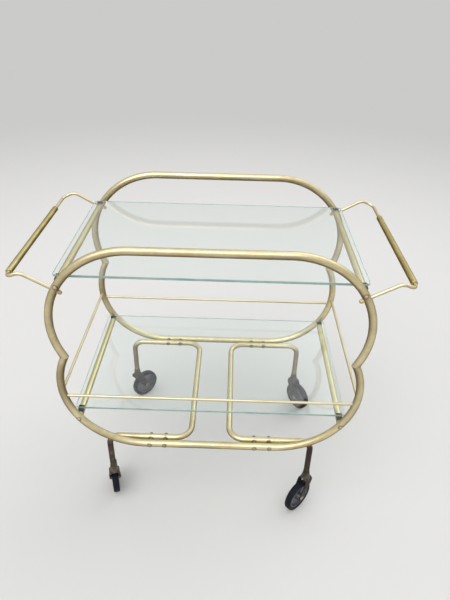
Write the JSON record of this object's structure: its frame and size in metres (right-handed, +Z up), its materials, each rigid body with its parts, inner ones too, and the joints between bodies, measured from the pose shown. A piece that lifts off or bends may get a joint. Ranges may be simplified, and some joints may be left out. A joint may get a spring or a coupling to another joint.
{
  "type": "bar cart",
  "caption": "Rolling brass bar cart with stadium-shaped tube hoops, clear glass shelves, thin gallery rails, rod handles at both ends and bent leg tubes on swivel casters.",
  "frame": {"origin": "on the floor under the middle of the cart", "axes": "+X along the length of the cart, +Y from front to rear, +Z up"},
  "size_m": [0.909, 0.5312, 0.8385],
  "materials": {
    "aged_brass": "aged pale gold brass, softly polished",
    "handle_brass": "hand-worn brass rod",
    "rail_brass": "thin drawn brass rod",
    "fastener_brass": "turned brass",
    "insert_steel": "turned steel",
    "clear_glass": "clear float glass with ground edges",
    "pad_rubber": "dull black rubber",
    "dark_bronze": "dark oxidised bronze plating on pressed steel",
    "caster_steel": "dull steel",
    "wheel_disc": "dark grey wheel disc",
    "tyre_rubber": "matt black rubber"
  },
  "bodies": {
    "cart": {"front_upper_hoop": "aged_brass", "front_lower_hoop": "aged_brass", "rear_upper_hoop": "aged_brass", "rear_lower_hoop": "aged_brass", "upper_left_crossbar": "aged_brass", "upper_right_crossbar": "aged_brass", "lower_left_crossbar": "aged_brass", "lower_right_crossbar": "aged_brass", "left_leg_tube": "aged_brass", "right_leg_tube": "aged_brass", "left_handle_rod": "handle_brass", "right_handle_rod": "handle_brass", "left_handle_grip": "handle_brass", "right_handle_grip": "handle_brass", "front_rail": "rail_brass", "rear_rail": "rail_brass", "left_rail": "rail_brass", "right_rail": "rail_brass", "crossbar_screws": "fastener_brass", "handle_nuts": "fastener_brass", "crossbar_inserts": "insert_steel", "upper_glass_shelf": "clear_glass", "lower_glass_shelf": "clear_glass", "upper_shelf_pads": "pad_rubber", "lower_shelf_pads": "pad_rubber", "leg_bolts": "dark_bronze", "leg_nuts": "dark_bronze", "leg_spacers": "dark_bronze", "front_left_caster_socket": "dark_bronze", "front_right_caster_socket": "dark_bronze", "rear_left_caster_socket": "dark_bronze", "rear_right_caster_socket": "dark_bronze"},
    "front_left_swivel": {"front_left_caster_stem": "caster_steel", "front_left_caster_fork": "dark_bronze", "front_left_caster_axle": "caster_steel"},
    "front_left_wheel": {"front_left_caster_hub": "wheel_disc", "front_left_caster_tyre": "tyre_rubber"},
    "front_right_swivel": {"front_right_caster_stem": "caster_steel", "front_right_caster_fork": "dark_bronze", "front_right_caster_axle": "caster_steel"},
    "front_right_wheel": {"front_right_caster_hub": "wheel_disc", "front_right_caster_tyre": "tyre_rubber"},
    "rear_left_swivel": {"rear_left_caster_stem": "caster_steel", "rear_left_caster_fork": "dark_bronze", "rear_left_caster_axle": "caster_steel"},
    "rear_left_wheel": {"rear_left_caster_hub": "wheel_disc", "rear_left_caster_tyre": "tyre_rubber"},
    "rear_right_swivel": {"rear_right_caster_stem": "caster_steel", "rear_right_caster_fork": "dark_bronze", "rear_right_caster_axle": "caster_steel"},
    "rear_right_wheel": {"rear_right_caster_hub": "wheel_disc", "rear_right_caster_tyre": "tyre_rubber"}
  },
  "joints": [
    {"name": "front_left_caster_swivel", "type": "hinge", "parent": "cart", "child": "front_left_swivel", "pos_m": [-0.275, -0.2075, 0.13], "axis": [0, 0, 1], "continuous": true},
    {"name": "front_left_wheel_spin", "type": "hinge", "parent": "front_left_swivel", "child": "front_left_wheel", "pos_m": [-0.28272, -0.18058, 0.0475], "axis": [-0.9613, -0.2756, 0], "continuous": true},
    {"name": "front_right_caster_swivel", "type": "hinge", "parent": "cart", "child": "front_right_swivel", "pos_m": [0.275, -0.2075, 0.13], "axis": [0, 0, 1], "continuous": true},
    {"name": "front_right_wheel_spin", "type": "hinge", "parent": "front_right_swivel", "child": "front_right_wheel", "pos_m": [0.2552, -0.2273, 0.0475], "axis": [0.7071, -0.7071, 0], "continuous": true},
    {"name": "rear_left_caster_swivel", "type": "hinge", "parent": "cart", "child": "rear_left_swivel", "pos_m": [-0.275, 0.2075, 0.13], "axis": [0, 0, 1], "continuous": true},
    {"name": "rear_left_wheel_spin", "type": "hinge", "parent": "rear_left_swivel", "child": "rear_left_wheel", "pos_m": [-0.2552, 0.2273, 0.0475], "axis": [-0.7071, 0.7071, 0], "continuous": true},
    {"name": "rear_right_caster_swivel", "type": "hinge", "parent": "cart", "child": "rear_right_swivel", "pos_m": [0.275, 0.2075, 0.13], "axis": [0, 0, 1], "continuous": true},
    {"name": "rear_right_wheel_spin", "type": "hinge", "parent": "rear_right_swivel", "child": "rear_right_wheel", "pos_m": [0.29224, 0.18544, 0.0475], "axis": [0.788, 0.6157, 0], "continuous": true}
  ]
}
